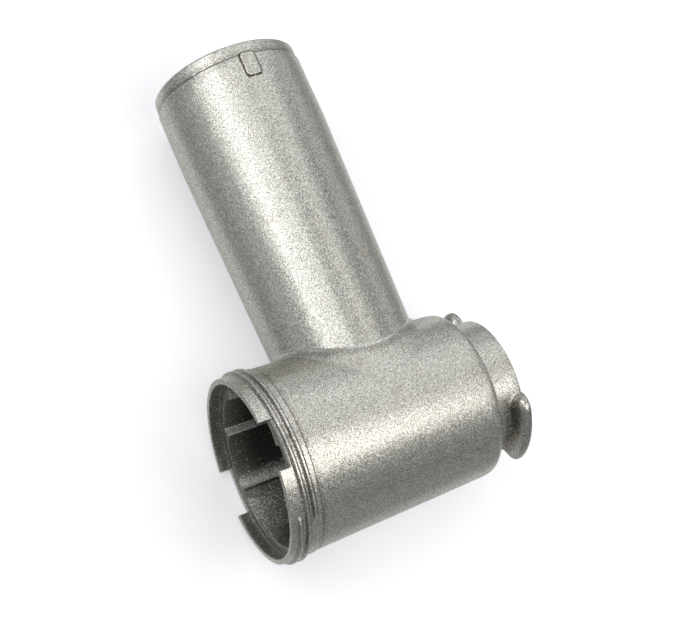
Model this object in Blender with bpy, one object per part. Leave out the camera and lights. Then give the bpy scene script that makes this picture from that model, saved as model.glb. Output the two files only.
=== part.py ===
# Meat grinder housing: one aluminium casting, a threaded barrel with a feed tube and a bayonet neck.
# It is drawn upright, with the barrel along X, its mouth at -X, and the feed tube along +Z,
# and is then laid on its side, as it comes to rest on a table. Metres throughout.
# Angles round the barrel start at the -Y side and turn towards +Z.
# Angles round the feed tube start at the -Y side and turn towards +X.

import math

import bmesh
import bpy
from mathutils import Matrix, Vector

# Barrel
BARREL_RADIUS = 0.0279  # outside, at the feed tube's axis
BARREL_TAPER = 0.036  # radius lost for each metre towards the rear
MOUTH_REACH = 0.0446  # feed tube axis to the mouth's front edge
SHOULDER_REACH = 0.0302  # feed tube axis to the rear shoulder
SHOULDER_ROUND = 0.0026
BARREL_SEGMENTS = 64

# Mouth, where the cutting plate sits against the seat
MOUTH_RADIUS = 0.0276
SEAT_DEPTH = 0.0038
NOTCH_WIDTH = 0.0150  # the plate's two ears, as deep as the seat
EDGE_BREAK = 0.0003

# Thread for the ring nut: a rounded ridge wound on a plain band
BAND_RADIUS = 0.0294
BAND_LENGTH = 0.0100
BAND_STEP = 0.0002  # length of the small step down to the barrel
THREAD_PITCH = 0.0025
THREAD_TURNS = 2.02
THREAD_START_ANGLE = -45.0
THREAD_LEAD_IN = 0.00235  # front edge to the ridge's first centre
THREAD_HEIGHT = 0.00105
THREAD_BASE = 0.0019
THREAD_CREST = 0.0005
THREAD_RUN_OUT = 9.0  # degrees over which each end fades

# Bore with saw-tooth ribs that keep the meat from turning
BORE_LOW_RADIUS = 0.0234
BORE_HIGH_RADIUS = 0.0259
BORE_TAPER = 0.030
RIB_COUNT = 8
RIB_FACE = 1.5  # degrees taken by each rib's steep side

# Feed tube
TUBE_TOP = 0.1254  # barrel axis to the rim
TUBE_BASE_RADIUS = 0.0219
TUBE_RADIUS = 0.0249
TUBE_TAPER_END = 0.1000
TUBE_WALL = 0.0023
RIM_BAND = 0.0045
RIM_STEP = 0.00045
RIM_ROUND = 0.0008
TUBE_SEGMENTS = 64

# Locating pad under the rim
PAD_WIDTH = 0.0055
PAD_LENGTH = 0.0089
PAD_DROP = 0.0038  # rim to the pad's upper end
PAD_HEIGHT = 0.0008
PAD_ROUND = 0.0013
PAD_DRAFT = 0.0004

# Blend between tube and barrel: tight where they meet squarely, wider where they meet at a slant
BLEND_TIGHT = 0.0011
BLEND_SLANT = 0.0022
BLEND_STEPS = 5

# Bayonet neck behind the shoulder
NECK_RADIUS = 0.02115
NECK_LENGTH = 0.0105
NECK_WALL = 0.0023
REAR_WALL = 0.0035
REAR_HOLE_RADIUS = 0.0110
LUG_REACH = 0.0263  # barrel axis to the lug's outer face
LUG_THICKNESS = 0.0043
LUG_ANGLE = -61.5
LUG_SPAN = 71.0
LUG_END = 10.0  # degrees over which each end rounds off
LUG_ROUND = 0.0012
LUG_COUNT = 2
LUG_SETBACK = 0.0002  # lug behind the neck's end face

# Working amounts for joins and cuts
OVERLAP = 0.0010  # how far one shape runs into or past another
SINK = 0.0004  # how far a shallow shape starts below the wall that carries it
SKIN = 0.00005  # how far the blend's edges dip into the walls

# Fineness of the curves
ROUND_STEPS = 5
CORNER_STEPS = 3
LUG_STATIONS = 24
MOUTH_STATIONS = 24
RIB_STATIONS = 6
MEETING_ROUNDS = 12
SHARP_ANGLE = 35.0

MOUTH_X = -MOUTH_REACH
SEAT_X = MOUTH_X + SEAT_DEPTH
BAND_X = MOUTH_X + BAND_LENGTH
NECK_X = SHOULDER_REACH + NECK_LENGTH
REAR_WALL_X = SHOULDER_REACH - REAR_WALL


def barrel_radius(x):
    return BARREL_RADIUS - BARREL_TAPER * x


def tube_radius(z):
    share = min(max(z / TUBE_TAPER_END, 0.0), 1.0)
    return TUBE_BASE_RADIUS + (TUBE_RADIUS - TUBE_BASE_RADIUS) * share


def round_barrel(x, radius, degrees):
    angle = math.radians(degrees)
    return Vector((x, -radius * math.cos(angle), radius * math.sin(angle)))


def round_tube(z, radius, degrees):
    angle = math.radians(degrees)
    return Vector((radius * math.sin(angle), -radius * math.cos(angle), z))


def arc(centre, radius, first, last, steps):
    points = []
    for step in range(steps + 1):
        angle = math.radians(first + (last - first) * step / steps)
        points.append((centre[0] + radius * math.cos(angle), centre[1] + radius * math.sin(angle)))
    return points


def solid_from_rings(name, rings, closed_loop=False):
    """Skins rings of equally many points, and caps the first and last unless the rings close."""
    shape = bmesh.new()
    rows = [[shape.verts.new(point) for point in ring] for ring in rings]
    if closed_loop:
        rows.append(rows[0])
    for near, far in zip(rows, rows[1:]):
        for i in range(len(near)):
            j = (i + 1) % len(near)
            shape.faces.new((near[i], near[j], far[j], far[i]))
    if not closed_loop:
        shape.faces.new(rows[0])
        shape.faces.new(list(reversed(rows[-1])))
    bmesh.ops.recalc_face_normals(shape, faces=shape.faces)
    mesh = bpy.data.meshes.new(name)
    shape.to_mesh(mesh)
    shape.free()
    mesh.shade_smooth()
    mesh.set_sharp_from_angle(angle=math.radians(SHARP_ANGLE))
    piece = bpy.data.objects.new(name, mesh)
    bpy.context.scene.collection.objects.link(piece)
    return piece


def turned(name, profile, place, segments):
    rings = []
    for along, radius in profile:
        rings.append([place(along, radius, 360 * i / segments) for i in range(segments)])
    return solid_from_rings(name, rings)


def make_barrel():
    shoulder = (SHOULDER_REACH - SHOULDER_ROUND, barrel_radius(SHOULDER_REACH) - SHOULDER_ROUND)
    profile = [
        (MOUTH_X, BAND_RADIUS - EDGE_BREAK),
        (MOUTH_X + EDGE_BREAK, BAND_RADIUS),
        (BAND_X, BAND_RADIUS),
        (BAND_X + BAND_STEP, barrel_radius(BAND_X + BAND_STEP)),
    ]
    profile += arc(shoulder, SHOULDER_ROUND, 88, 0, ROUND_STEPS)
    profile += [
        (SHOULDER_REACH, NECK_RADIUS),
        (NECK_X - EDGE_BREAK, NECK_RADIUS),
        (NECK_X, NECK_RADIUS - EDGE_BREAK),
    ]
    return turned("housing", profile, round_barrel, BARREL_SEGMENTS)


def make_tube():
    rim = TUBE_RADIUS - RIM_STEP
    band = TUBE_TOP - RIM_BAND
    profile = [
        (0.0, TUBE_BASE_RADIUS),
        (TUBE_TAPER_END, TUBE_RADIUS),
        (band, TUBE_RADIUS),
        (band + RIM_STEP, rim),
    ]
    corner = (rim - RIM_ROUND, TUBE_TOP - RIM_ROUND)
    profile += [(z, radius) for radius, z in arc(corner, RIM_ROUND, 0, 90, CORNER_STEPS)]
    return turned("feed_tube", profile, round_tube, TUBE_SEGMENTS)


def make_blend():
    """The concave web along the line where the tube's wall runs into the barrel."""
    sections = []
    for i in range(TUBE_SEGMENTS):
        degrees = 360 * i / TUBE_SEGMENTS
        slant = math.cos(math.radians(degrees)) ** 2 * TUBE_BASE_RADIUS / BARREL_RADIUS
        reach = BLEND_TIGHT + BLEND_SLANT * slant

        def meeting(out, up):
            """A point `out` beyond the tube's wall and `up` above the barrel's wall."""
            z = BARREL_RADIUS
            for _ in range(MEETING_ROUNDS):
                side = round_tube(z, tube_radius(z) + out, degrees)
                height = (barrel_radius(side.x) + up) ** 2 - side.y**2
                z = math.sqrt(max(height, SINK**2))
            return Vector((side.x, side.y, z))

        on_tube = meeting(-SKIN, reach)
        corner = meeting(0.0, 0.0)
        on_barrel = meeting(reach, -SKIN)
        section = []
        for step in range(BLEND_STEPS + 1):
            t = step / BLEND_STEPS
            section.append(on_tube * (1 - t) ** 2 + corner * 2 * t * (1 - t) + on_barrel * t**2)
        section.append(meeting(-OVERLAP, -OVERLAP))
        sections.append(section)
    return solid_from_rings("tube_blend", sections, closed_loop=True)


def make_thread():
    stations = round(THREAD_TURNS * BARREL_SEGMENTS)  # on the band's own segments
    turns = stations / BARREL_SEGMENTS
    slope = (THREAD_BASE - THREAD_CREST) / 2 / THREAD_HEIGHT
    rings = []
    for i in range(stations + 1):
        turn = i / BARREL_SEGMENTS
        from_end = 360 * min(turn, turns - turn)
        fade = math.sin(math.pi / 2 * min(from_end / THREAD_RUN_OUT, 1.0))
        height = (THREAD_HEIGHT + SINK) * fade - SINK
        x = MOUTH_X + THREAD_LEAD_IN + THREAD_PITCH * turn
        foot = THREAD_CREST / 2 + slope * (height + 2 * SINK)
        degrees = THREAD_START_ANGLE - 360 * turn
        crest = BAND_RADIUS + height
        rings.append(
            [
                round_barrel(x - foot, BAND_RADIUS - 2 * SINK, degrees),
                round_barrel(x - THREAD_CREST / 2, crest, degrees),
                round_barrel(x + THREAD_CREST / 2, crest, degrees),
                round_barrel(x + foot, BAND_RADIUS - 2 * SINK, degrees),
            ]
        )
    return solid_from_rings("thread", rings)


def make_pad():
    top = TUBE_TOP - PAD_DROP
    middle = top - PAD_LENGTH / 2
    rings = []
    for radius, inset in ((TUBE_RADIUS - OVERLAP, 0.0), (TUBE_RADIUS + PAD_HEIGHT, PAD_DRAFT)):
        across = PAD_WIDTH / 2 - PAD_ROUND
        along = PAD_LENGTH / 2 - PAD_ROUND
        outline = []
        for corner, (side, end) in enumerate(((1, 1), (-1, 1), (-1, -1), (1, -1))):
            centre = (side * across, end * along)
            outline += arc(centre, PAD_ROUND - inset, 90 * corner, 90 * corner + 90, CORNER_STEPS)
        ring = [round_tube(middle + z, radius, math.degrees(s / TUBE_RADIUS)) for s, z in outline]
        rings.append(ring)
    return solid_from_rings("locating_pad", rings)


def make_lug(name, middle):
    """A low ring sector with rounded ends and rounded edges."""
    back = NECK_X - LUG_SETBACK
    front = back - LUG_THICKNESS
    base = NECK_RADIUS - OVERLAP
    rings = []
    for i in range(LUG_STATIONS + 1):
        offset = LUG_SPAN * (i / LUG_STATIONS - 0.5)
        into_end = max(0.0, abs(offset) - (LUG_SPAN / 2 - LUG_END)) / LUG_END
        height = (LUG_REACH - base - SINK) * math.sqrt(max(0.0, 1 - into_end**2))
        top = base + SINK + height
        shoulder = max(top - LUG_ROUND, base + SINK / 2)
        section = [(front, base)]
        for step in range(CORNER_STEPS + 1):
            angle = math.pi / 2 * step / CORNER_STEPS
            along = LUG_ROUND * (1 - math.cos(angle))
            section.append((front + along, shoulder + (top - shoulder) * math.sin(angle)))
        for step in range(CORNER_STEPS + 1):
            angle = math.pi / 2 * (1 - step / CORNER_STEPS)
            along = LUG_ROUND * (1 - math.cos(angle))
            section.append((back - along, shoulder + (top - shoulder) * math.sin(angle)))
        section.append((back, base))
        rings.append([round_barrel(x, radius, middle + offset) for x, radius in section])
    return solid_from_rings(name, rings)


def mouth_cutter():
    """A disc as wide as the cutting plate, with an ear at each side for the two notches."""
    half = NOTCH_WIDTH / 2
    gap = math.degrees(math.asin(half / MOUTH_RADIUS))
    ear = BAND_RADIUS + THREAD_HEIGHT + OVERLAP
    outline = []
    for side in (0, 180):
        turn = math.cos(math.radians(side))
        outline += [(-ear * turn, -half * turn), (-ear * turn, half * turn)]
        for i in range(MOUTH_STATIONS + 1):
            angle = math.radians(side + gap + (180 - 2 * gap) * i / MOUTH_STATIONS)
            outline.append((-MOUTH_RADIUS * math.cos(angle), MOUTH_RADIUS * math.sin(angle)))
    rings = []
    for x in (MOUTH_X - OVERLAP, SEAT_X):
        rings.append([Vector((x, y, z)) for y, z in outline])
    return solid_from_rings("mouth_cutter", rings)


def bore_cutter():
    pitch = 360 / RIB_COUNT
    rings = []
    for x in (SEAT_X - OVERLAP, REAR_WALL_X):
        drop = BORE_TAPER * (x - SEAT_X)
        ring = []
        for rib in range(RIB_COUNT):
            for i in range(RIB_STATIONS + 1):
                share = i / RIB_STATIONS
                degrees = rib * pitch + RIB_FACE + (pitch - RIB_FACE) * share
                radius = BORE_LOW_RADIUS + (BORE_HIGH_RADIUS - BORE_LOW_RADIUS) * share
                ring.append(round_barrel(x, radius - drop, degrees))
        rings.append(ring)
    return solid_from_rings("bore_cutter", rings)


def feed_cutter():
    inner = TUBE_RADIUS - TUBE_WALL
    profile = [
        (0.0, TUBE_BASE_RADIUS - TUBE_WALL),
        (TUBE_TAPER_END, inner),
        (TUBE_TOP - RIM_ROUND, inner),
        (TUBE_TOP, inner + RIM_ROUND / 2),
        (TUBE_TOP + OVERLAP, inner + RIM_ROUND / 2 + OVERLAP),
    ]
    return turned("feed_cutter", profile, round_tube, TUBE_SEGMENTS)


def neck_cutter():
    inner = NECK_RADIUS - NECK_WALL
    profile = [
        (REAR_WALL_X - OVERLAP, REAR_HOLE_RADIUS),
        (SHOULDER_REACH, REAR_HOLE_RADIUS),
        (SHOULDER_REACH, inner),
        (NECK_X - EDGE_BREAK, inner),
        (NECK_X + OVERLAP, inner + OVERLAP + EDGE_BREAK),
    ]
    return turned("neck_cutter", profile, round_barrel, BARREL_SEGMENTS)


def combine(body, operands, operation):
    for operand in operands:
        step = body.modifiers.new(operand.name, "BOOLEAN")
        step.operation = operation
        step.solver = "EXACT"
        step.object = operand
        operand.hide_render = True
        operand.display_type = "WIRE"


def cast_aluminium():
    material = bpy.data.materials.new("cast_aluminium")
    material.use_nodes = True
    shader = material.node_tree.nodes["Principled BSDF"]
    shader.inputs["Base Color"].default_value = (0.40, 0.39, 0.375, 1.0)
    shader.inputs["Metallic"].default_value = 1.0
    shader.inputs["Roughness"].default_value = 0.48
    return material


def resting_turn():
    """Turns the casting on to its +Y side, where thread, shoulder and rim touch the table."""
    turns = (180 + THREAD_START_ANGLE) / 360 + 1
    front = Vector((MOUTH_X + THREAD_LEAD_IN + THREAD_PITCH * turns, BAND_RADIUS + THREAD_HEIGHT))
    rear_x = SHOULDER_REACH - SHOULDER_ROUND
    rear = Vector((rear_x, barrel_radius(rear_x)))
    along_barrel = (rear.y - front.y) / (rear.x - front.x)
    under_tube = front.y - along_barrel * front.x
    along_tube = (TUBE_RADIUS - under_tube) / (TUBE_TOP - RIM_BAND)
    up = Vector((along_barrel, -1.0, along_tube)).normalized()
    tube = Vector((0.0, 0.0, 1.0))
    ahead = (tube - up * tube.dot(up)).normalized()
    right = ahead.cross(up)
    return Matrix((right, ahead, up)).to_4x4()


def lay_down(frame, body):
    """Puts the middle of the resting casting's footprint on the origin."""
    frame.matrix_world = resting_turn()
    bpy.context.view_layer.update()
    evaluated = body.evaluated_get(bpy.context.evaluated_depsgraph_get())
    mesh = evaluated.to_mesh()
    points = [evaluated.matrix_world @ vertex.co for vertex in mesh.vertices]
    low = Vector([min(point[i] for point in points) for i in range(3)])
    high = Vector([max(point[i] for point in points) for i in range(3)])
    evaluated.to_mesh_clear()
    frame.location = (-(low.x + high.x) / 2, -(low.y + high.y) / 2, -low.z)
    bpy.context.view_layer.update()


def main():
    for old in list(bpy.data.objects):
        bpy.data.objects.remove(old, do_unlink=True)

    body = make_barrel()
    added = [make_tube(), make_blend(), make_thread(), make_pad()]
    for i in range(LUG_COUNT):
        added.append(make_lug(f"lug_{i + 1}", LUG_ANGLE + 360 * i / LUG_COUNT))
    cut = [bore_cutter(), mouth_cutter(), feed_cutter(), neck_cutter()]
    combine(body, added, "UNION")
    combine(body, cut, "DIFFERENCE")
    body.data.materials.append(cast_aluminium())

    frame = bpy.data.objects.new("rest_frame", None)
    bpy.context.scene.collection.objects.link(frame)
    for piece in [body] + added + cut:
        piece.parent = frame
    lay_down(frame, body)


main()
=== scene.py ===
import math

import bmesh
import bpy
from mathutils import Matrix, Vector


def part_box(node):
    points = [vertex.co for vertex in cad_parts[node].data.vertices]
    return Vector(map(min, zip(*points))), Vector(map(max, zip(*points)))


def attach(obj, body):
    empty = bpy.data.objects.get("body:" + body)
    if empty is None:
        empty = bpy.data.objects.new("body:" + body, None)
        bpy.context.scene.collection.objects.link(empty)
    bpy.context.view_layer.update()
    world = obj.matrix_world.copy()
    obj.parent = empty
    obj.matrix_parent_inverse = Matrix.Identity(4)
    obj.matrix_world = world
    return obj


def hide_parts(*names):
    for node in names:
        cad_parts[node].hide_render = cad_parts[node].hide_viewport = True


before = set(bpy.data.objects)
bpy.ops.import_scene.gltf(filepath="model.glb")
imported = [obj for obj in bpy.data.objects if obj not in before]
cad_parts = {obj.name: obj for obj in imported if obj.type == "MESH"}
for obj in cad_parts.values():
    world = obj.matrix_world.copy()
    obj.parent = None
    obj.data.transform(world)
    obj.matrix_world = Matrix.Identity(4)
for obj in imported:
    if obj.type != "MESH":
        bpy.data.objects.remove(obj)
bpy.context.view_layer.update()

mm = 0.001

# The casting is drawn upright in millimetres: barrel along X with its mouth at -X, feed tube up Z.
# Angles are in degrees: round the barrel from the -Y side to +Z, round the tube from -Y to +X.


def roundBarrel(x, radius, degrees):
    turn = math.radians(degrees)
    return Vector((x, -radius * math.cos(turn), radius * math.sin(turn)))


def roundTube(z, radius, degrees):
    turn = math.radians(degrees)
    return Vector((radius * math.sin(turn), -radius * math.cos(turn), z))


def apart(first, second):
    # smallest turn between two angles
    return abs((first - second + 180) % 360 - 180)


def smooth(t):
    t = min(max(t, 0.0), 1.0)
    return t * t * (3 - 2 * t)


def near(value, centre, reach):
    # 1 at the centre, 0 from reach on
    return 1 - smooth(abs(value - centre) / reach)


def spread(first, last, count):
    return [first + (last - first) * i / (count - 1) for i in range(count)]


# steps in a quarter round
rounds = {"small": 3, "edge": 4, "bore": 5, "large": 6}


def quarter(steps):
    # sine and 1 - cosine along a quarter turn
    turns = [math.pi / 2 * i / steps for i in range(steps + 1)]
    return [(math.sin(turn), 1 - math.cos(turn)) for turn in turns]


barrel = {
    "radius": 27.88,        # at the tube's axis
    "taper": 0.036,
    "rear": 30.2,
    "shoulderRound": 2.6,
    "shoulderStart": 88.0,  # the shoulder leaves the drafted skin here, in degrees
    "shoulderSteps": 10,
    "angleStep": 1.5,       # between its lengthwise sections
    "patchLow": 12.0,       # the tube's patch in the barrel's skin: its angles, then its ends
    "patchHigh": 168.0,
    "patchFront": -28.0,
    "patchBack": 26.6,
    "frontGap": 0.45,       # from the thread's band to the first ring of the skin
    "frontRings": 5,
    "patchRings": 45,
}


def barrelRadius(x):
    return barrel["radius"] - barrel["taper"] * x


def barrelRings():
    front = spread(thread["bandEnd"] + barrel["frontGap"], barrel["patchFront"], barrel["frontRings"])
    return front[:-1], spread(barrel["patchFront"], barrel["patchBack"], barrel["patchRings"])


tube = {
    "baseRadius": 21.9,
    "radius": 24.9,
    "taperEnd": 100.0,
    "top": 125.38,
    "wall": 2.3,
    "bandHeight": 4.6,
    "bandStep": 0.42,
    "bandGap": 0.25,        # from the last ring of the skin to the band's foot
    # the step to the rim's band: rise over its foot, with depth under the skin, then height over the rim
    "stepUnder": ((-0.12, 0.03), (0.0, 0.14)),
    "stepOver": ((0.10, 0.10), (0.22, 0.01), (0.45, 0.0)),
    "rimRound": 0.6,
    "boreRound": 0.7,
    "blendOut": 1.3,        # the swell at its foot, least and more where it faces the barrel's sides
    "blendOutFacing": 3.5,
    "blendUp": 1.2,
    "blendUpFacing": 1.1,
    "blendUpLean": 0.25,    # less on the neck's side
    "blendCrease": 0.65,    # 0 runs straight into the tube, 1 leaves a crease there
    "blendSteps": 10,
    "patchShares": (0.16, 0.32, 0.46, 0.59, 0.70, 0.79, 0.87, 0.94),
    "footTop": 36.0,        # rings are closer below this height
    "footShares": (0.03, 0.08, 0.16, 0.28, 0.42, 0.58, 0.78, 1.0),
    "taperRings": 14,
    "straightRings": 6,
    "rimMiddle": 0.4,       # lifts the one ring half way up the band
}


def tubeRadius(z):
    share = min(max(z / tube["taperEnd"], 0.0), 1.0)
    return tube["baseRadius"] + (tube["radius"] - tube["baseRadius"]) * share


def rimStepRings():
    # rise over the band's foot, and radius
    rim = tube["radius"] - tube["bandStep"]
    rings = [(rise, tube["radius"] - depth) for rise, depth in tube["stepUnder"]]
    return rings + [(rise, rim + height) for rise, height in tube["stepOver"]]


bore = {
    "low": 22.7,            # radius on the ribs' crests, at the seat
    "high": 25.8,           # and in the valleys
    "taper": 0.03,
    "rear": 26.7,
    "rearRound": 1.0,
    "ribs": 8,
    "crestAt": 1.6,         # angle of the first crest
    "face": 2.4,            # degrees of steep face before a crest
    "rise": 9.0,            # degrees of quicker rise behind it
    "riseShare": 0.55,
    "crestRound": 0.55,
    "valleyRound": 0.7,
    "turnRound": 3.0,       # where the quick rise meets the slow ramp
    "roundSteps": 5,
    "rings": 9,
}
ribPitch = 360 / bore["ribs"]


# one rib of the bore, seen end on: rounded valley, steep face, rounded crest, quick rise, slow ramp
def ribOutline():
    perDegree = math.radians(1) * (bore["low"] + bore["high"]) / 2
    step = bore["high"] - bore["low"]
    slow = step * (1 - bore["riseShare"]) / (ribPitch - bore["face"] - bore["rise"])
    slope = Vector((perDegree, slow))
    low = Vector((bore["crestAt"] * perDegree, bore["low"]))
    high = Vector((low.x - bore["face"] * perDegree, bore["high"]))
    turn = Vector((low.x + bore["rise"] * perDegree, bore["low"] + step * bore["riseShare"]))
    corners = ((high - slope, high, low, bore["valleyRound"]),
               (high, low, turn, bore["crestRound"]),
               (low, turn, turn + slope, bore["turnRound"]))
    points = []
    for start, corner, end, bend in corners:
        into = (start - corner).normalized()
        out = (end - corner).normalized()
        reach = bend / math.tan(into.angle(out) / 2)
        first = corner + into * reach
        last = corner + out * reach
        for i in range(bore["roundSteps"] + 1):
            t = i / bore["roundSteps"]
            p = first * (1 - t) ** 2 + corner * 2 * t * (1 - t) + last * t ** 2
            points.append((p.x / perDegree, p.y))
    return points


ribPoints = ribOutline()


def boreRadius(x, degrees):
    ribStart, startRadius = ribPoints[0]
    ribEnd, endRadius = ribPoints[-1]
    drop = bore["taper"] * (x - mouth["seat"])
    into = degrees % ribPitch
    if into > ribPitch + ribStart:
        into -= ribPitch
    if into < ribEnd:
        for (s0, r0), (s1, r1) in zip(ribPoints, ribPoints[1:]):
            if into <= s1:
                return r0 + (r1 - r0) * (into - s0) / (s1 - s0) - drop
    share = (into - ribEnd) / (ribPitch + ribStart - ribEnd)
    return endRadius + (startRadius - endRadius) * share - drop


thread = {
    "bandRadius": 29.4,
    "bandEnd": -34.6,
    "bandRings": 46,
    "stepUnder": ((0.10, 0.03), (0.20, 0.17)),  # past the band's end, and under its radius
    "stepFoot": (0.30, 0.02),                   # the same, under the barrel's radius
    "startAngle": -45.0,
    "startX": -41.85,
    "pitch": 2.5,
    "turns": 2.02,
    "height": 1.0,
    "halfBase": 0.98,
    "crest": 0.2,           # half width of its flat top
    "fade": 8.0,            # degrees of run-in at each end
    "endStep": 1.6,         # degrees between the closer stations at its two ends
    "endShift": 0.4,
    "endReach": 5,          # how many of them on each side of an end
}


def nearestTurn(x, degrees):
    # distance to the thread's nearest crest line, and how full its height is here
    best = (math.inf, 0.0)
    turned = ((thread["startAngle"] - degrees) % 360) / 360
    for whole in range(math.ceil(thread["turns"])):
        along = turned + whole
        if along > thread["turns"]:
            continue
        fromEnd = 360 * min(along, thread["turns"] - along)
        full = math.sin(math.pi / 2 * min(fromEnd / thread["fade"], 1.0))
        best = min(best, (abs(x - thread["startX"] - thread["pitch"] * along), full))
    return best


def ridge(x, degrees):
    # height of the thread above its band
    away, full = nearestTurn(x, degrees)
    if away >= thread["halfBase"]:
        return 0.0
    flank = min((thread["halfBase"] - away) / (thread["halfBase"] - thread["crest"]), 1.0)
    return thread["height"] * full * smooth((flank + smooth(flank)) / 2)


def threadEndAngles():
    ends = (thread["startAngle"], thread["startAngle"] - 360 * thread["turns"])
    reach = thread["endReach"]
    shifts = [k * thread["endStep"] + thread["endShift"] for k in range(-reach, reach + 1)]
    return [(end + shift) % 360 for end in ends for shift in shifts]


def bandStepRings():
    # x and radius, from the thread's band down the small step to the barrel
    end = thread["bandEnd"]
    rings = [(end + past, thread["bandRadius"] - depth) for past, depth in thread["stepUnder"]]
    footPast, footDepth = thread["stepFoot"]
    return rings + [(end + footPast, barrelRadius(end) - footDepth)]


mouth = {
    "front": -44.58,
    "seat": -40.8,
    "wallRadius": 27.6,
    "notchWidth": 15.0,
    "notchAngles": (0, 180),
    "edgeRound": 0.35,
    "notchRound": 0.28,
    "footRound": 0.35,
    "lipRound": 0.3,        # where the seat turns into the bore
    "wallRings": 5,
    "outsideRings": 27,
    "notchFloor": 0.12,     # keeps the floor of a notch just under the band
    "notchShift": 0.06,
}

# least angles between a plain station and a rib's, a notch's side or a thread end's
stationGap = {"rib": 0.45, "notch": 1.0, "threadEnd": 0.3}
openShift = 0.0001          # puts a notch's open station on the right side of its closed ones


def sideAngle(station, radius):
    # the notches have flat sides, so their angle changes with the radius
    return station["centre"] + station["sign"] * math.degrees(math.asin(station["away"] / radius))


def makeStations():
    # the lengthwise sections of the shell, in order of angle
    half = mouth["notchWidth"] / 2
    side = math.degrees(math.asin(half / thread["bandRadius"]))
    ribs = []
    for k in range(bore["ribs"]):
        ribs += [(k * ribPitch + point[0]) % 360 for point in ribPoints]
    sides = [(centre + sign * side) % 360 for centre in mouth["notchAngles"] for sign in (1, -1)]
    plain = []
    for i in range(round(360 / barrel["angleStep"])):
        angle = i * barrel["angleStep"]
        nearRib = any(apart(angle, other) < stationGap["rib"] for other in ribs)
        nearSide = any(apart(angle, other) < stationGap["notch"] for other in sides)
        if not nearRib and not nearSide:
            plain.append(angle)
    for angle in threadEndAngles():
        if all(apart(angle, other) > stationGap["threadEnd"] for other in plain + ribs):
            plain.append(angle)

    stations = []
    for angle in plain + ribs:
        isOpen = min(apart(angle, centre) for centre in mouth["notchAngles"]) < side
        stations.append({"angle": angle, "order": angle, "open": isOpen, "inset": 0.0, "away": None})
    for centre in mouth["notchAngles"]:
        for sign in (1, -1):
            bend = mouth["notchRound"]
            closed = [(half + bend * (1 - s), bend * c, False) for s, c in quarter(rounds["small"])]
            for away, inset, isOpen in closed + [(half, 0.0, True)]:
                station = {"centre": centre, "sign": sign, "away": away, "inset": inset, "open": isOpen}
                station["angle"] = sideAngle(station, thread["bandRadius"]) % 360
                station["order"] = station["angle"]
                if away == half:
                    station["order"] += -openShift * sign if isOpen else openShift * sign
                stations.append(station)
    return sorted(stations, key=lambda station: station["order"])


neck = {
    "radius": 21.15,
    "end": 40.68,
    "wall": 2.3,
    "hole": 11.0,
    "edgeRound": 0.35,
    "rootRound": 0.35,
    "insideRound": 0.8,
    "holeRound": 0.4,
    "outsideRings": 6,
    "insideRings": 5,
}


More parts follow.
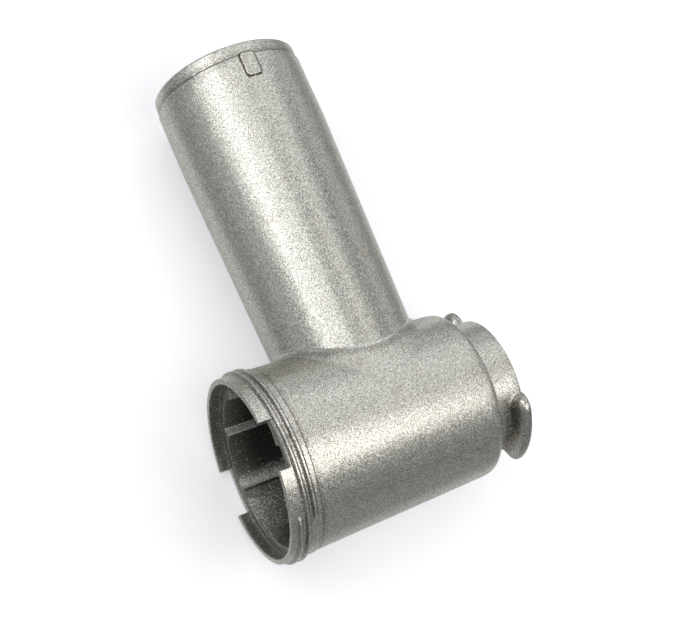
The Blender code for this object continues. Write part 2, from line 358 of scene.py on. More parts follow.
def wallSection(station):
    # one closed loop from the bore, round the mouth and the skin, to the neck and back
    angle = station["angle"]
    inset = station["inset"]
    seat = mouth["seat"]
    front = mouth["front"] + inset
    inner = mouth["wallRadius"] + inset
    foot = mouth["footRound"]
    edge = mouth["edgeRound"]
    band = thread["bandRadius"]
    points = []

    def add(x, radius, straight=False):
        here = angle
        if straight and station["away"] is not None:
            here = sideAngle(station, radius)
        points.append(roundBarrel(x, radius, here))

    # bore, from its rear corner to the seat
    lip = mouth["lipRound"]
    for x in spread(bore["rear"] - bore["rearRound"], seat + lip, bore["rings"]):
        add(x, boreRadius(x, angle))
    seatEdge = boreRadius(seat, angle)
    for s, c in quarter(rounds["small"])[1:]:
        add(seat + lip * (1 - s), seatEdge + lip * c)
    add(seat, (seatEdge + lip + inner - foot) / 2)

    # mouth wall: inside, front and outside down to the seat's level
    collar = []
    for s, c in quarter(rounds["edge"]):
        collar.append((seat - foot * c, inner - foot + foot * s))
    for x in spread(seat - foot, front + edge, mouth["wallRings"])[1:-1]:
        collar.append((x, inner))
    for s, c in quarter(rounds["edge"]):
        collar.append((front + edge * (1 - s), inner + edge * c))
    for s, c in quarter(rounds["edge"]):
        collar.append((front + edge * c, band - inset - edge + edge * s))
    for x in spread(mouth["front"] + edge + inset, seat, mouth["outsideRings"])[1:-1]:
        collar.append((x, band - inset + ridge(x, angle)))
    if station["open"]:
        inside = mouth["wallRadius"] - foot
        outside = band + ridge(seat, angle) - mouth["notchFloor"]
        collar = [(seat, radius) for radius in spread(inside, outside, len(collar))]
    for x, radius in collar:
        add(x, radius, True)

    # the rest of the thread's band, then the small step down to the barrel
    for x in spread(seat, thread["bandEnd"], thread["bandRings"]):
        lift = ridge(x, angle)
        if station["open"] and x == seat:
            x += mouth["notchShift"]
        add(x, band + lift)
    for x, radius in bandStepRings():
        add(x, radius)
    frontRings, patchRings = barrelRings()
    for x in frontRings:
        add(x, barrelRadius(x))
    firstPatchRing = len(points)
    for x in patchRings:
        add(x, barrelRadius(x))
    lastPatchRing = len(points) - 1

    # rear shoulder, then the root of the neck
    bend = barrel["shoulderRound"]
    centreX = barrel["rear"] - bend
    centreR = barrelRadius(barrel["rear"]) - bend
    for degrees in spread(barrel["shoulderStart"], 0.0, barrel["shoulderSteps"] + 1):
        turn = math.radians(degrees)
        add(centreX + bend * math.cos(turn), centreR + bend * math.sin(turn))
    root = neck["rootRound"]
    for s, c in quarter(rounds["edge"]):
        add(barrel["rear"] + root * c, neck["radius"] + root * (1 - s))

    # neck outside, end face, inside
    edge = neck["edgeRound"]
    inside = neck["radius"] - neck["wall"]
    for x in spread(barrel["rear"] + root, neck["end"] - edge, neck["outsideRings"])[1:-1]:
        add(x, neck["radius"])
    for s, c in quarter(rounds["edge"]):
        add(neck["end"] - edge * (1 - s), neck["radius"] - edge * c)
    for s, c in quarter(rounds["edge"]):
        add(neck["end"] - edge * c, inside + edge * (1 - s))
    bend = neck["insideRound"]
    for x in spread(neck["end"] - edge, barrel["rear"] + bend, neck["insideRings"])[1:-1]:
        add(x, inside)
    for s, c in quarter(rounds["small"]):
        add(barrel["rear"] + bend * (1 - s), inside - bend * c)

    # rear wall with its hole, then the bore's rear corner
    hole = neck["hole"]
    bend = neck["holeRound"]
    add(barrel["rear"], (inside + hole) / 2)
    for s, c in quarter(rounds["small"]):
        add(barrel["rear"] - bend * c, hole + bend * (1 - s))
    for s, c in quarter(rounds["small"]):
        add(bore["rear"] + bend * (1 - s), hole + bend * c)
    deep = boreRadius(bore["rear"], angle)
    bend = bore["rearRound"]
    add(bore["rear"], (deep + hole) / 2)
    for s, c in quarter(rounds["edge"])[:-1]:
        add(bore["rear"] - bend * c, deep - bend + bend * s)
    return points, firstPatchRing, lastPatchRing


# the search for where the tube's skin meets the barrel's, in millimetres
search = {"rounds": 14, "least": 0.01, "probe": 0.05}


def meeting(degrees, out, up):
    # where the tube's skin, moved out, meets the barrel's, moved up
    z = barrel["radius"]
    for _ in range(search["rounds"]):
        side = roundTube(z, tubeRadius(z) + out, degrees)
        z = math.sqrt(max((barrelRadius(side.x) + up) ** 2 - side.y ** 2, search["least"]))
    return Vector((side.x, side.y, z))


def blendCurve(degrees):
    # from the barrel's skin, over a slight swell, to a soft crease on the tube
    facing = math.cos(math.radians(degrees)) ** 2
    out = tube["blendOut"] + tube["blendOutFacing"] * facing
    up = tube["blendUp"] + tube["blendUpFacing"] * facing
    up -= tube["blendUpLean"] * math.sin(math.radians(degrees))
    probe = search["probe"]
    start = meeting(degrees, out, 0.0)
    end = meeting(degrees, 0.0, up)
    leave = (meeting(degrees, out - probe, 0.0) - start).normalized()
    barrelWay = (meeting(degrees, 0.0, 0.0) - meeting(degrees, probe, 0.0)).normalized()
    straight = (end - start).normalized()
    arrive = (straight * (1 - tube["blendCrease"]) + barrelWay * tube["blendCrease"]).normalized()
    third = (end - start).length / 3
    first = start + leave * third
    second = end - arrive * third
    curve = []
    for i in range(tube["blendSteps"] + 1):
        t = i / tube["blendSteps"]
        point = start * (1 - t) ** 3 + first * 3 * t * (1 - t) ** 2
        curve.append(point + second * 3 * t * t * (1 - t) + end * t ** 3)
    return curve


def tubeColumn(bm, vert):
    # from one vertex on the patch's edge, over the blend and up the tube to the rim
    x, y, z = vert.co
    degrees = math.degrees(math.atan2(x, -y))
    curve = blendCurve(degrees)
    onBarrel, onTube = curve[0], curve[-1]
    angle0 = math.atan2(z, -y)
    angle1 = math.atan2(onBarrel.z, -onBarrel.y)
    points = []
    for t in tube["patchShares"]:
        along = x + (onBarrel.x - x) * t
        turn = math.degrees(angle0 + (angle1 - angle0) * t)
        points.append(roundBarrel(along, barrelRadius(along), turn))
    points += curve

    top = tube["top"]
    band = top - tube["bandHeight"]
    rim = tube["radius"] - tube["bandStep"]
    bend = tube["rimRound"]
    levels = [onTube.z + (tube["footTop"] - onTube.z) * t for t in tube["footShares"]]
    levels += spread(tube["footTop"], tube["taperEnd"], tube["taperRings"])[1:]
    levels += spread(tube["taperEnd"], band - tube["bandGap"], tube["straightRings"])[1:]
    points += [roundTube(level, tubeRadius(level), degrees) for level in levels]
    points += [roundTube(band + rise, radius, degrees) for rise, radius in rimStepRings()]
    points.append(roundTube((band + top - bend) / 2 + tube["rimMiddle"], rim, degrees))
    points += [roundTube(top - bend * (1 - s), rim - bend * c, degrees) for s, c in quarter(rounds["large"])]
    return [vert] + [bm.verts.new(point) for point in points]


def meshObject(name, bm):
    bmesh.ops.recalc_face_normals(bm, faces=bm.faces)
    mesh = bpy.data.meshes.new(name)
    bm.to_mesh(mesh)
    bm.free()
    obj = bpy.data.objects.new(name, mesh)
    bpy.context.scene.collection.objects.link(obj)
    return obj


def buildShell():
    bm = bmesh.new()
    stations = makeStations()
    grid = []
    for station in stations:
        points, first, last = wallSection(station)
        grid.append([bm.verts.new(p) for p in points])
    count = len(stations)
    rows = len(grid[0])
    angles = [station["angle"] for station in stations]
    inPatch = [i for i, angle in enumerate(angles) if barrel["patchLow"] <= angle <= barrel["patchHigh"]]
    low, high = inPatch[0], inPatch[-1]
    for i in range(count):
        k = (i + 1) % count
        for j in range(rows):
            m = (j + 1) % rows
            if low <= i < high and first <= j < last:
                continue
            bm.faces.new((grid[i][j], grid[i][m], grid[k][m], grid[k][j]))

    # edge of the patch, once round
    edge = [grid[low][j] for j in range(first, last)]
    edge += [grid[i][last] for i in range(low, high)]
    edge += [grid[high][j] for j in range(last, first, -1)]
    edge += [grid[i][first] for i in range(high, low, -1)]
    columns = [tubeColumn(bm, vert) for vert in edge]
    for left, right in zip(columns, columns[1:] + columns[:1]):
        for a, b, c, d in zip(left, left[1:], right[1:], right):
            bm.faces.new((a, b, c, d))
    bm.faces.new([column[-1] for column in columns])
    print("shell:", count, "stations,", rows, "rows,", len(bm.faces), "faces")
    return meshObject("housingShell", bm)


def skin(bm, rings):
    # a closed solid through rings with the same number of points
    verts = [[bm.verts.new(p) for p in ring] for ring in rings]
    for lower, upper in zip(verts, verts[1:]):
        for i in range(len(lower)):
            k = (i + 1) % len(lower)
            bm.faces.new((lower[i], lower[k], upper[k], upper[i]))
    bm.faces.new(verts[0])
    bm.faces.new(list(reversed(verts[-1])))


lug = {
    "centres": (-61.5, 118.5),
    "half": 35.8,           # degrees from its middle to an end
    "height": 5.15,
    "front": 34.9,
    "back": 40.6,
    "endRound": 12.0,       # degrees over which an end sinks into the neck
    "endRings": 14,
    "middleRings": 41,
    "endShare": 0.02,       # height left at the very end, as a share
    "endPower": 0.75,       # how fast the front slope shortens towards an end
    "crestX": 39.1,
    "frontBend": 1.9,
    "frontHold": 0.75,      # how much of the bend the slope keeps near its top
    "frontSteps": 16,
    "backRound": 1.1,
    "backShare": 0.6,       # of the height, where the end is lower than the round
    "sunk": 0.9,            # how deep it stands in the neck
    "skirt": ((-0.2, -0.9), (-0.1, -0.02)),     # x from the front foot and height, under the neck's skin
    "least": 0.01,
}


def lugSection(share):
    # (x, height) from the front foot up the slope, over the crest and down the back
    tall = lug["height"] * share
    shrink = share ** lug["endPower"]
    front = lug["back"] - (lug["back"] - lug["front"]) * shrink
    crestX = lug["back"] - (lug["back"] - lug["crestX"]) * shrink
    bend = lug["frontBend"] * shrink
    back = min(lug["backRound"], lug["back"] - crestX, tall * lug["backShare"])
    points = [(front + x, h) for x, h in lug["skirt"]]
    for i in range(1, lug["frontSteps"] + 1):
        t = i / lug["frontSteps"]
        x = (1 - t) ** 3 * front + 3 * (1 - t) ** 2 * t * (front + bend)
        x += 3 * (1 - t) * t ** 2 * (front + lug["frontHold"] * bend) + t ** 3 * crestX
        h = tall * (3 * (1 - t) * t ** 2 + t ** 3)
        points.append((x, max(h, lug["least"])))
    for s, c in quarter(rounds["large"]):
        points.append((lug["back"] - back * (1 - s), tall - back * c))
    points.append((lug["back"], -lug["sunk"]))
    return points


def buildLug(bm, centre):
    straight = lug["half"] - lug["endRound"]
    steps = lug["endRings"]
    turns = [math.pi / 2 * i / steps for i in range(steps)]
    ends = [-lug["half"] + lug["endRound"] * (1 - math.cos(turn)) for turn in turns]
    offsets = ends + spread(-straight, straight, lug["middleRings"]) + [-offset for offset in reversed(ends)]
    rings = []
    for offset in offsets:
        into = max(0.0, abs(offset) - straight) / lug["endRound"]
        share = max(math.sqrt(max(0.0, 1 - into * into)), lug["endShare"])
        rings.append([roundBarrel(x, neck["radius"] + h, centre + offset) for x, h in lugSection(share)])
    skin(bm, rings)


pad = {
    "width": 5.2,
    "length": 8.5,
    "drop": 4.0,            # rim to the pad's upper end
    "height": 0.8,
    "corner": 1.35,
    "cornerSteps": 8,
    # from under the tube's skin to the crown: share of the height, and how far in from the pad's outline
    "rings": ((-0.875, -0.42), (-0.025, -0.42), (0.025, -0.32), (0.075, -0.14), (0.2, 0.0), (0.4375, 0.10),
              (0.65, 0.18), (0.825, 0.27), (0.95, 0.40), (1.0, 0.56)),
}
padMiddle = tube["top"] - pad["drop"] - pad["length"] / 2


def buildPad(bm):
    across = pad["width"] / 2 - pad["corner"]
    along = pad["length"] / 2 - pad["corner"]
    rings = []
    for share, inset in pad["rings"]:
        corner = pad["corner"] - inset
        radius = tube["radius"] + share * pad["height"]
        ring = []
        for index, (signS, signZ) in enumerate(((1, 1), (-1, 1), (-1, -1), (1, -1))):
            for k in range(pad["cornerSteps"] + 1):
                turn = math.radians(90 * index + 90 * k / pad["cornerSteps"])
                s = signS * across + corner * math.cos(turn)
                z = signZ * along + corner * math.sin(turn)
                ring.append(roundTube(padMiddle + z, radius, math.degrees(s / tube["radius"])))
        rings.append(ring)
    skin(bm, rings)


def buildExtras():
    bm = bmesh.new()
    for centre in lug["centres"]:
        buildLug(bm, centre)
    buildPad(bm)
    return meshObject("lugsAndPad", bm)


# the solid that cuts the feed tube's bore: rings up the draft, and how far past the rim it flares
feedCut = {"rings": 12, "past": 1.0, "flare": 0.8}


def buildFeedCutter():
    bm = bmesh.new()
    inner = tube["radius"] - tube["wall"]
    bend = tube["boreRound"]
    profile = [(z, tubeRadius(z) - tube["wall"]) for z in spread(0.0, tube["taperEnd"], feedCut["rings"])]
    for s, c in quarter(rounds["bore"]):
        profile.append((tube["top"] - bend * (1 - s), inner + bend * c))
    profile.append((tube["top"] + feedCut["past"], inner + bend + feedCut["flare"]))
    step = barrel["angleStep"]
    rings = []
    for z, radius in profile:
        rings.append([roundTube(z, radius, step * i) for i in range(round(360 / step))])
    skin(bm, rings)
    return meshObject("feedCutter", bm)


rest = {
    "front": (-38.812, 30.45),      # x and radius of the thread's crest
    "rear": (27.6, 26.906),         # of the shoulder
    "rim": (120.9, 24.9),           # z and radius of the tube
}


def restingTurn():
    # the casting lies on its thread, its rear shoulder and the end of its tube
    (frontX, frontR), (rearX, rearR), (rimZ, rimR) = rest["front"], rest["rear"], rest["rim"]
    alongBarrel = (rearR - frontR) / (rearX - frontX)
    underTube = frontR - alongBarrel * frontX
    alongTube = (rimR - underTube) / rimZ
    up = Vector((alongBarrel, -1.0, alongTube)).normalized()
    upright = Vector((0, 0, 1))
    ahead = (upright - up * upright.dot(up)).normalized()
    return Matrix((ahead.cross(up), ahead, up)).to_4x4()


# This and the next four dictionaries say where painted shade and painted highlights go: places and reaches
# in the casting's millimetres and degrees, shares from 0 to 1
boreShading = {
    "wallShade": 0.60,      # of the mouth's wall and seat, where the bore has 1
    "litShade": 0.18,       # taken off where the wall's low side is lit
    "litAt": 250.0,
    "litReach": 65.0,
    "fade": 1.5,            # from the seat into the bore
    # painted highlight on a rib's steep face and crest, and on the ramps before the step
    "edgeReach": 0.3,       # beside a rib's face
    "edgeHighlight": 0.95,
    "rampLitFrom": 150.0,    # between these angles the ramps are painted pale before the step, a painted highlight
    "rampLitTo": 205.0,
    "rampLitSpan": 12.0,
    "rampHighlight": 0.85,
    "footAt": 1.2,          # painted shadow line behind a crest on the lit ramps
    "footReach": 1.1,
    "footShade": 0.9,
    "paleFrom": 183.6,      # one ramp has a painted highlight all over
    "paleTo": 223.6,
    "paleHighlight": 0.30,
    "cornerShade": 0.5,      # painted shade in the corner between seat and wall
    "cornerAlong": 0.25,
    "cornerOut": 0.4,
    "slack": 0.2,           # how far past a wall's own radius or plane still counts as that wall
    "frontSlack": 0.1,
    "rearSlack": 0.5,
    "feedFrom": 20.0,       # height where the feed tube's bore starts
    "feedDepth": 12.0,      # the feed tube's bore is painted fully dark this far from its rim
    "neckFrom": 26.6,
    "neckShade": 0.7,
    "neckEdge": 0.3,
    "neckDepth": 4.0,
}


def insideShadingMarks(x, z, out, fromTube, degrees):
    # painted shade, inside: 1 deep in the bore and the feed tube, about half on the mouth's inner wall and
    # seat
    look = boreShading
    seat = mouth["seat"]
    slack = look["slack"]
    inside = paintedShade = paintedHighlight = 0.0
    inMouth = x < seat + look["frontSlack"]
    limit = mouth["wallRadius"] + slack if inMouth else bore["high"] + look["rearSlack"]
    if mouth["front"] + look["frontSlack"] < x < bore["rear"] + look["rearSlack"] and out < limit:
        inside = look["wallShade"] - look["litShade"] * near(degrees % 360, look["litAt"], look["litReach"])
        inside += (1 - inside) * smooth((x - seat + slack) / look["fade"])
        past = (degrees - bore["crestAt"]) % ribPitch
        toStep = ribPitch - bore["face"] - past
        # painted highlights on the ribs' faces and ramps, a painted shadow line behind the crests
        if x > seat + slack:
            if toStep < look["edgeReach"] or past < look["edgeReach"]:
                paintedHighlight = look["edgeHighlight"]
            elif look["rampLitFrom"] < degrees % 360 < look["rampLitTo"]:
                paintedHighlight = look["rampHighlight"] * smooth(1 - toStep / look["rampLitSpan"])
                paintedShade = look["footShade"] * near(past, look["footAt"], look["footReach"])
            if look["paleFrom"] < degrees % 360 < look["paleTo"]:
                paintedHighlight = max(paintedHighlight, look["paleHighlight"])
        along = near(x, seat, look["cornerAlong"])
        across = near(out, mouth["wallRadius"] - slack, look["cornerOut"])
        paintedShade = max(paintedShade, look["cornerShade"] * along * across)
    # painted shade down the feed tube's bore and into the neck's bore, deeper with depth
    if z > look["feedFrom"] and fromTube < tubeRadius(z) - tube["wall"] + slack:
        inside = max(inside, smooth((tube["top"] - slack - z) / look["feedDepth"]))
    if x > look["neckFrom"] and out < neck["radius"] - neck["wall"] + slack:
        depth = (neck["end"] - look["neckEdge"] - x) / look["neckDepth"]
        inside = max(inside, look["neckShade"] * smooth(depth))
    return inside, paintedShade, paintedHighlight


threadShading = {
    # the crests get a painted highlight, the flanks painted shade
    "crestHighlight": 0.5,
    "crestTo": 0.32,        # distance from the crest line where its painted highlight ends
    "flankShade": 0.44,
    "flankFrom": 0.2,
    "flankTo": 1.25,
    "flankFade": 0.3,
    "sharp": 0.1,           # fade of the edge between crest and flank
    "behind": 0.2,          # how far behind the band, and under its skin, still counts as the band
    "depth": 0.1,
    "bandShade": 0.85,       # painted shade in the step behind the band
    "bandAt": 0.25,
    "bandReach": 0.35,
}


def threadShadingMarks(x, out, degrees):
    look = threadShading
    # painted highlight along the crests, painted shade on the flanks and in the step behind the band
    paintedShade = paintedHighlight = 0.0
    onBand = mouth["front"] < x < thread["bandEnd"] + look["behind"]
    if onBand and out > thread["bandRadius"] - look["depth"]:
        away, full = nearestTurn(x, degrees)
        paintedHighlight = look["crestHighlight"] * full * smooth((look["crestTo"] - away) / look["sharp"])
        paintedShade = look["flankShade"] * full * smooth((away - look["flankFrom"]) / look["sharp"])
        paintedShade *= smooth((look["flankTo"] - away) / look["flankFade"])
    return max(paintedShade, look["bandShade"] * near(x, thread["bandEnd"] + look["bandAt"], look["bandReach"])), paintedHighlight


neckShading = {
    "rootAt": 0.1,          # painted shade in the corner between the barrel's rear and the neck
    "rootAlong": 0.8,
    "rootOut": 1.1,
    "lugBefore": 0.9,       # a lug's marks reach this far before, behind and above it, and past its ends
    "lugBehind": 0.1,
    "lugAbove": 0.15,
    "lugPast": 2.0,
    "endFade": 4.0,
    "crestGap": 0.4,
    "crestFade": 2.5,
    "footShade": 0.75,       # painted shade along the lug's front foot
    "footAt": 0.5,
    "footReach": 2.4,
    "wholeShade": 0.24,      # painted shade: all of a lug is a little darker than the neck
    "wholeFrom": 0.3,
}


def neckPaintedShade(x, out, degrees):
    # painted shade in the neck's root corner, along each lug's front foot and over each lug
    look = neckShading
    rootAlong = near(x, barrel["rear"] + look["rootAt"], look["rootAlong"])
    paintedShade = rootAlong * near(out, neck["radius"] + look["rootAt"], look["rootOut"])
    above = out - neck["radius"]
    beside = lug["front"] - look["lugBefore"] < x < lug["back"] + look["lugBehind"]
    if beside and above < lug["height"] + look["lugAbove"]:
        for centre in lug["centres"]:
            pastEnd = apart(degrees, centre) - lug["half"] - look["lugPast"]
            if pastEnd < 0:
                slope = smooth(-pastEnd / look["endFade"])
                slope *= smooth((lug["height"] + look["crestGap"] - above) / look["crestFade"])
                foot = near(x, lug["front"] + look["footAt"], look["footReach"])
                paintedShade = max(paintedShade, look["footShade"] * slope * foot)
                if above > look["wholeFrom"]:
                    paintedShade = max(paintedShade, look["wholeShade"])
    return paintedShade


creaseShading = {
    "low": 12.0,            # the crease round the tube's foot lies between these heights
    "high": 36.0,
    "under": 0.4,           # and this near the two skins
    "past": 4.5,
    "paintedHighlight": 0.40,           # painted highlight on the crease itself
    "highlightReach": 0.7,
    "paintedShade": 0.30,           # painted shade just under it
    "shadeAt": 1.8,
    "shadeReach": 1.9,
}


def creaseShadingMarks(x, y, z, out, fromTube):
    # painted highlight on the crease round the tube's foot, painted shade just under it
    look = creaseShading
    offTube = fromTube - tubeRadius(z)
    onSkin = out > barrelRadius(x) - look["under"] and -look["under"] < offTube < look["past"]
    if not (look["low"] < z < look["high"] and onSkin):
        return 0.0, 0.0
    below = blendCurve(math.degrees(math.atan2(x, -y)))[-1].z - z
    paintedShade = look["paintedShade"] * near(below, look["shadeAt"], look["shadeReach"])
    return paintedShade, look["paintedHighlight"] * near(below, 0.0, look["highlightReach"])


rimShading = {
    "from": 60.0,           # above this height there is only the tube
    "stepShade": 0.8,        # painted shade along the small step to the rim's band
    "stepAt": 0.25,
    "stepReach": 0.45,
    "padShade": 0.85,        # painted shade round the pad's foot
    "padReach": 0.6,
    "padFrom": 0.015,       # heights over the tube's skin
    "padTo": 0.70,
    "padFade": 0.25,
}


def rimPaintedShade(x, y, z, fromTube):
    # painted shade round the pad's foot and along the step to the rim's band
    look = rimShading
    above = fromTube - tube["radius"]
    across = abs(math.atan2(x, -y) * tube["radius"])
    inLength = abs(z - padMiddle) < pad["length"] / 2 + look["padReach"]
    inWidth = across < pad["width"] / 2 + look["padReach"]
    if inLength and inWidth and above > look["padFrom"]:
        return look["padShade"] * smooth((look["padTo"] - above) / look["padFade"])
    return look["stepShade"] * near(z, tube["top"] - tube["bandHeight"] + look["stepAt"], look["stepReach"])


def markSurface(mesh):
    # stores three shares on each vertex: inside (painted shade), painted shade in corners and steps, painted
    # highlight
    stored = {name: mesh.attributes.new(name, "FLOAT", "POINT").data for name in ("inside", "paintedShade", "paintedHighlight")}
    for vert in mesh.vertices:
        x, y, z = vert.co
        out = math.hypot(y, z)
        fromTube = math.hypot(x, y)
        degrees = math.degrees(math.atan2(z, -y))
        inside, paintedShade, paintedHighlight = insideShadingMarks(x, z, out, fromTube, degrees)
        if inside == 0.0 and z > rimShading["from"]:
            paintedShade = rimPaintedShade(x, y, z, fromTube)
        elif inside == 0.0:
            threadShade, threadHighlight = threadShadingMarks(x, out, degrees)
            creaseShade, creaseHighlight = creaseShadingMarks(x, y, z, out, fromTube)
            paintedShade = max(threadShade, creaseShade, neckPaintedShade(x, out, degrees))
            paintedHighlight = max(threadHighlight, creaseHighlight)
        stored["inside"][vert.index].value = inside
        stored["paintedShade"][vert.index].value = paintedShade
        stored["paintedHighlight"][vert.index].value = paintedHighlight


sharpFrom = 38.0            # edges with a larger angle stay sharp


def buildHousing():
    shell = buildShell()
    extras = buildExtras()
    cutter = buildFeedCutter()
    for operand, operation in ((extras, "UNION"), (cutter, "DIFFERENCE")):
        join = shell.modifiers.new(operation.lower(), "BOOLEAN")
        join.operation = operation
        join.solver = "MANIFOLD"
        join.object = operand
    graph = bpy.context.evaluated_depsgraph_get()
    mesh = bpy.data.meshes.new_from_object(shell.evaluated_get(graph))
    for old in (shell, extras, cutter):
        bpy.data.objects.remove(old, do_unlink=True)
    mesh.name = "castHousing"
    markSurface(mesh)

    # down to metres, into its resting turn, and centred in the frame's box on the table
    mesh.transform(Matrix.Diagonal((mm, mm, mm, 1)))
    mesh.transform(restingTurn())
    low = Vector([min(v.co[i] for v in mesh.vertices) for i in range(3)])
    high = Vector([max(v.co[i] for v in mesh.vertices) for i in range(3)])
    cadLow, cadHigh = [Vector(c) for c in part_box("housing")]
    shift = (cadLow + cadHigh - low - high) / 2
    shift.z = cadLow.z - low.z
    mesh.transform(Matrix.Translation(shift))
    mesh.shade_smooth()
    mesh.set_sharp_from_angle(angle=math.radians(sharpFrom))
    casting = bpy.data.objects.new("castHousing", mesh)
    bpy.context.scene.collection.objects.link(casting)
    triangles = sum(len(p.vertices) - 2 for p in mesh.polygons)
    print("housing:", triangles, "triangles, shift", shift)
    return casting


housing = buildHousing()
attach(housing, "root")
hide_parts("housing")


def mathStep(tree, operation, *values):
    step = tree.nodes.new("ShaderNodeMath")
    step.operation = operation
    for socket, value in zip(step.inputs, values):
        if isinstance(value, float):
            socket.default_value = value
        else:
            tree.links.new(value, socket)
    return step.outputs[0]


def ramp(tree, value, low, high, toLow=0.0, toHigh=1.0):
    span = tree.nodes.new("ShaderNodeMapRange")
    span.interpolation_type = "SMOOTHSTEP"
    span.inputs["From Min"].default_value = low
    span.inputs["From Max"].default_value = high
    span.inputs["To Min"].default_value = toLow
    span.inputs["To Max"].default_value = toHigh
    tree.links.new(value, span.inputs["Value"])
    return span.outputs["Result"]


def blend(tree, share, first, second):
    # first where the share is 0, second where it is 1
    mix = tree.nodes.new("ShaderNodeMix")
    mix.data_type = "RGBA"
    tree.links.new(share, mix.inputs["Factor"])
    for socket, colour in ((mix.inputs[6], first), (mix.inputs[7], second)):
        if isinstance(colour, tuple):
            socket.default_value = (*colour, 1)
        else:
            tree.links.new(colour, socket)
    return mix.outputs[2]


castFinishAndShading = {
    "colour": (0.609, 0.603, 0.567),
    "tintColour": (0.490, 0.455, 0.385),
    "scuffColour": (0.900, 0.895, 0.870),
    # painted shade deep inside the bore and tubes
    "insideShadeColour": (0.095, 0.090, 0.082),
    # painted highlight on rib faces, thread crests and the tube's crease
    "highlightColour": (0.700, 0.695, 0.675),
    # painted shade in corners, steps and flanks
    "paintedShadeColour": (0.095, 0.080, 0.063),
    "grainDark": (0.575, 0.570, 0.552),     # the grain multiplies what is under it
    "grainPale": (1.44, 1.44, 1.415),
    "glintColour": (1.0, 1.0, 0.98),
    "tintShare": 0.30,
    "tintSpan": (0.52, 0.72),   # noise values where it starts and is full
    "scuffShare": 0.55,
    "scuffSpan": (0.665, 0.74),
    "grainEdge": 0.11,      # half width of the grain's dark to pale step
    "glintShare": 0.04,
    "glintFull": 0.8,       # of that share, where a glint has its full colour
    "highlightGlints": 0.26,     # added share where the painted highlight is
    "insideGlints": 0.032,  # share taken away deep inside
    "roughness": 0.33,
    "roughSpread": 0.10,
    "insideRough": 0.30,    # added inside
    "facetSize": 0.00027,   # metres, as all the sizes here
    "facetTilt": 0.10,
    "clumpDepth": 0.000006,
    "waveDepth": 0.00004,
    # noises: size, detail and roughness
    "grain": (0.00026, 0.0, 0.55),
    "clump": (0.0016, 2.0, 0.6),
    "wave": (0.014, 3.0, 0.55),
    "tint": (0.0055, 4.0, 0.6),
    "scuff": (0.0013, 2.0, 0.7),
}


def castMaterial():
    look = castFinishAndShading
    mat = bpy.data.materials.new("blastedAluminium")
    mat.use_nodes = True
    tree = mat.node_tree
    nodes = tree.nodes
    links = tree.links
    shader = nodes["Principled BSDF"]
    shader.inputs["Metallic"].default_value = 1.0
    place = nodes.new("ShaderNodeTexCoord").outputs["Object"]
    middle = 0.5    # of a noise and of a facet's random colour

    def mark(name):
        stored = nodes.new("ShaderNodeAttribute")
        stored.attribute_name = name
        return stored.outputs["Fac"]

    def noise(name):
        size, detail, rough = look[name]
        tex = nodes.new("ShaderNodeTexNoise")
        tex.inputs["Scale"].default_value = 1 / size
        tex.inputs["Detail"].default_value = detail
        tex.inputs["Roughness"].default_value = rough
        links.new(place, tex.inputs["Vector"])
        return tex.outputs["Fac"]

    def vector(operation, *values):
        step = nodes.new("ShaderNodeVectorMath")
        step.operation = operation
        for socket, value in zip(step.inputs, values):
            if isinstance(value, tuple):
                socket.default_value = value
            else:
                links.new(value, socket)
        return step

    # small blasted facets: each has its own tilt, shade and roughness
    facets = nodes.new("ShaderNodeTexVoronoi")
    facets.inputs["Scale"].default_value = 1 / look["facetSize"]
    links.new(place, facets.inputs["Vector"])
    chance = nodes.new("ShaderNodeSeparateColor")
    links.new(facets.outputs["Color"], chance.inputs["Color"])
    inside, paintedShade, paintedHighlight = mark("inside"), mark("paintedShade"), mark("paintedHighlight")

    # colour: plain metal, warm stains, pale scuffs, painted shade inside, painted highlights, painted shade
    # in corners, then grain and glints
    stained = ramp(tree, noise("tint"), *look["tintSpan"], 0.0, look["tintShare"])
    scuffed = ramp(tree, noise("scuff"), *look["scuffSpan"], 0.0, look["scuffShare"])
    colour = blend(tree, stained, look["colour"], look["tintColour"])
    colour = blend(tree, scuffed, colour, look["scuffColour"])
    colour = blend(tree, inside, colour, look["insideShadeColour"])
    colour = blend(tree, paintedHighlight, colour, look["highlightColour"])
    colour = blend(tree, paintedShade, colour, look["paintedShadeColour"])
    edge = look["grainEdge"]
    pale = ramp(tree, noise("grain"), middle - edge, middle + edge)
    shade = blend(tree, pale, look["grainDark"], look["grainPale"])
    colour = vector("MULTIPLY", colour, shade).outputs[0]
    chosen = mathStep(tree, "MULTIPLY_ADD", inside, -look["insideGlints"], chance.outputs["Blue"])
    # more pale specks where the painted highlight is
    chosen = mathStep(tree, "MULTIPLY_ADD", paintedHighlight, look["highlightGlints"], chosen)
    share = look["glintShare"]
    glint = ramp(tree, chosen, 1 - share, 1 - share * look["glintFull"])
    links.new(blend(tree, glint, colour, look["glintColour"]), shader.inputs["Base Color"])

    rough = look["roughness"]
    half = look["roughSpread"]
    facetRough = ramp(tree, chance.outputs["Green"], 0.0, 1.0, rough - half, rough + half)
    rougher = mathStep(tree, "MULTIPLY_ADD", inside, look["insideRough"], facetRough)
    links.new(rougher, shader.inputs["Roughness"])

    # relief: long waves, small clumps, then each facet's own tilt
    normal = None
    for name in ("wave", "clump"):
        bump = nodes.new("ShaderNodeBump")
        bump.inputs["Distance"].default_value = look[name + "Depth"]
        links.new(noise(name), bump.inputs["Height"])
        if normal:
            links.new(normal, bump.inputs["Normal"])
        normal = bump.outputs["Normal"]
    lean = vector("SUBTRACT", facets.outputs["Color"], (middle, middle, middle)).outputs[0]
    tilt = vector("SCALE", lean)
    tilt.inputs["Scale"].default_value = look["facetTilt"]
    leaning = vector("ADD", normal, tilt.outputs[0]).outputs[0]
    links.new(vector("NORMALIZE", leaning).outputs[0], shader.inputs["Normal"])
    return mat


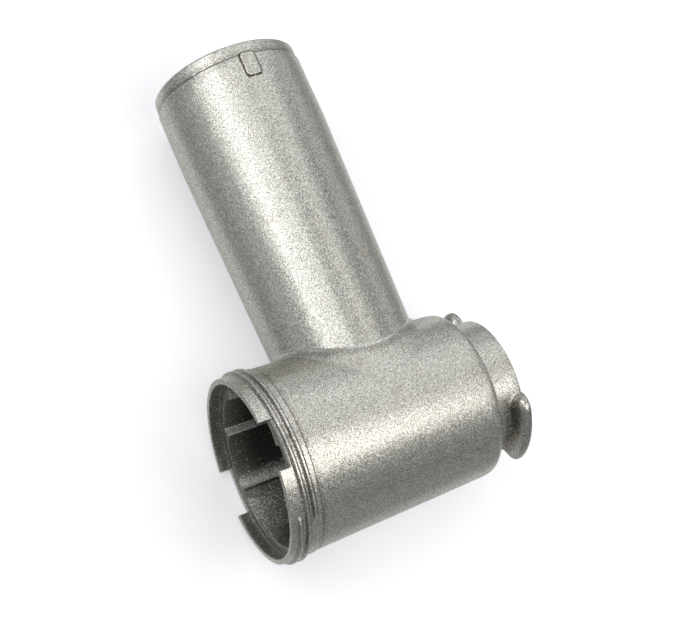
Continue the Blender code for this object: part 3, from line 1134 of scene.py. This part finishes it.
housing.data.materials.clear()
housing.data.materials.append(castMaterial())
print("cast material ready")

table = {
    "half": 1.5,
    "drop": 0.0004,         # under the part, so that they don't share a plane
    "colour": (0.95, 0.95, 0.96),
    "roughness": 0.85,
    "specular": 0.1,
    "cameraLift": 0.32,     # brightness added where the camera sees it
    "frontLift": 0.08,      # more of it towards the front and right: painted light over the shadows there
    "frontSpan": 0.09,
    "glossLift": 0.06,      # and where the metal's gloss sees it: a painted reflection
    "liftColour": (0.93, 0.96, 1.0),
    # the metal sees a small pale sheet, dark past its edges, a painted reflection, while the camera sees the
    # table go on
    "darkColour": (0.36, 0.36, 0.36),
    "sheetLow": (-0.047, -0.088),
    "sheetHigh": (0.075, 0.120),
    "sheetFade": 0.030,
    "sheetShare": 0.73,
}


def makeTable():
    half = table["half"]
    mesh = bpy.data.meshes.new("table")
    corners = [(-half, -half, 0), (half, -half, 0), (half, half, 0), (-half, half, 0)]
    mesh.from_pydata(corners, [], [(0, 1, 2, 3)])
    floor = bpy.data.objects.new("table", mesh)
    floor.location.z = -table["drop"]
    bpy.context.scene.collection.objects.link(floor)
    mat = bpy.data.materials.new("paleTable")
    mat.use_nodes = True
    tree = mat.node_tree
    shader = tree.nodes["Principled BSDF"]
    shader.inputs["Roughness"].default_value = table["roughness"]
    shader.inputs["Specular IOR Level"].default_value = table["specular"]
    shader.inputs["Emission Color"].default_value = (*table["liftColour"], 1)

    where = tree.nodes.new("ShaderNodeSeparateXYZ")
    tree.links.new(tree.nodes.new("ShaderNodeNewGeometry").outputs["Position"], where.inputs[0])
    fade = table["sheetFade"]
    sheet = None
    for axis, low, high in zip("XY", table["sheetLow"], table["sheetHigh"]):
        for past, edge in ((low - fade, low), (high + fade, high)):
            within = ramp(tree, where.outputs[axis], past, edge)
            sheet = mathStep(tree, "MULTIPLY", sheet, within) if sheet else within
    path = tree.nodes.new("ShaderNodeLightPath")
    seen = path.outputs["Is Camera Ray"]
    pale = mathStep(tree, "MAXIMUM", mathStep(tree, "MULTIPLY", sheet, table["sheetShare"]), seen)
    tree.links.new(blend(tree, pale, table["darkColour"], table["colour"]), shader.inputs["Base Color"])

    # the glow keeps the table white for the camera; towards front and right it is painted light over the
    # shadows, on the sheet a painted reflection
    towardsFront = mathStep(tree, "SUBTRACT", where.outputs["X"], where.outputs["Y"])
    most = table["cameraLift"] + table["frontLift"]
    lift = ramp(tree, towardsFront, 0.0, table["frontSpan"], table["cameraLift"], most)
    cameraGlow = mathStep(tree, "MULTIPLY", seen, lift)
    inGloss = mathStep(tree, "MULTIPLY", path.outputs["Is Glossy Ray"], sheet)
    glow = mathStep(tree, "ADD", cameraGlow, mathStep(tree, "MULTIPLY", inGloss, table["glossLift"]))
    tree.links.new(glow, shader.inputs["Emission Strength"])
    mesh.materials.append(mat)


makeTable()
print("table ready")

# soft boxes, all aimed at the part: direction, distance and sides in metres, brightness as seen, colour
lights = {
    "rightKey": ((0.18, -0.42, 0.88), 0.95, (0.60, 0.60), 1.8, (1.0, 0.975, 0.93)),
    "rightSide": ((0.56, -0.20, 0.78), 0.95, (0.55, 0.70), 0.62, (1.0, 0.98, 0.95)),
    "leftKey": ((-0.62, 0.45, 0.64), 0.95, (0.55, 0.55), 1.25, (1.0, 1.0, 1.0)),
    "leftHigh": ((-0.37, 0.16, 0.90), 0.95, (0.75, 0.75), 1.10, (1.0, 1.0, 1.0)),
    "back": ((0.32, 0.58, 0.70), 1.05, (1.10, 0.90), 0.68, (1.0, 1.0, 1.0)),
    "backLow": ((0.22, 0.95, 0.14), 1.00, (1.30, 0.45), 0.35, (1.0, 1.0, 1.0)),
    "rightLow": ((0.93, 0.30, 0.20), 1.00, (1.00, 0.45), 0.35, (1.0, 0.99, 0.97)),
    "leftLow": ((-0.96, 0.12, 0.16), 1.00, (1.20, 0.36), 0.24, (1.0, 1.0, 1.0)),
    "lowFill": ((-0.30, -0.92, 0.26), 0.95, (0.60, 0.50), 0.10, (1.0, 0.97, 0.93)),
}
room = {"colour": (0.97, 0.98, 1.0), "strength": 0.26}


def makeLights():
    for name, (way, distance, sides, glow, colour) in lights.items():
        data = bpy.data.lights.new(name, "AREA")
        data.shape = "RECTANGLE"
        data.size, data.size_y = sides
        data.energy = glow * math.pi * data.size * data.size_y
        data.color = colour
        lamp = bpy.data.objects.new(name, data)
        way = Vector(way).normalized()
        lamp.location = way * distance
        lamp.rotation_euler = (-way).to_track_quat("-Z", "Y").to_euler()
        lamp.visible_camera = False
        bpy.context.scene.collection.objects.link(lamp)
    world = bpy.data.worlds.new("studio")
    bpy.context.scene.world = world
    world.use_nodes = True
    background = world.node_tree.nodes["Background"]
    background.inputs["Color"].default_value = (*room["colour"], 1)
    background.inputs["Strength"].default_value = room["strength"]


makeLights()
print("lights:", len(lights))

camera = {
    "place": (-0.15446, -0.10863, 0.48165),
    "turn": (18.205, -13.345, -23.526),     # degrees
    "lens": 82.06,
    "sensor": 36,
    "nearest": 0.01,
}


def makeCamera():
    data = bpy.data.cameras.new("camera")
    data.lens = camera["lens"]
    data.sensor_width = camera["sensor"]
    data.clip_start = camera["nearest"]
    eye = bpy.data.objects.new("camera", data)
    eye.location = camera["place"]
    eye.rotation_euler = [math.radians(a) for a in camera["turn"]]
    bpy.context.scene.collection.objects.link(eye)
    bpy.context.scene.camera = eye
    bpy.context.scene.view_settings.view_transform = "Standard"


makeCamera()
print("camera placed")
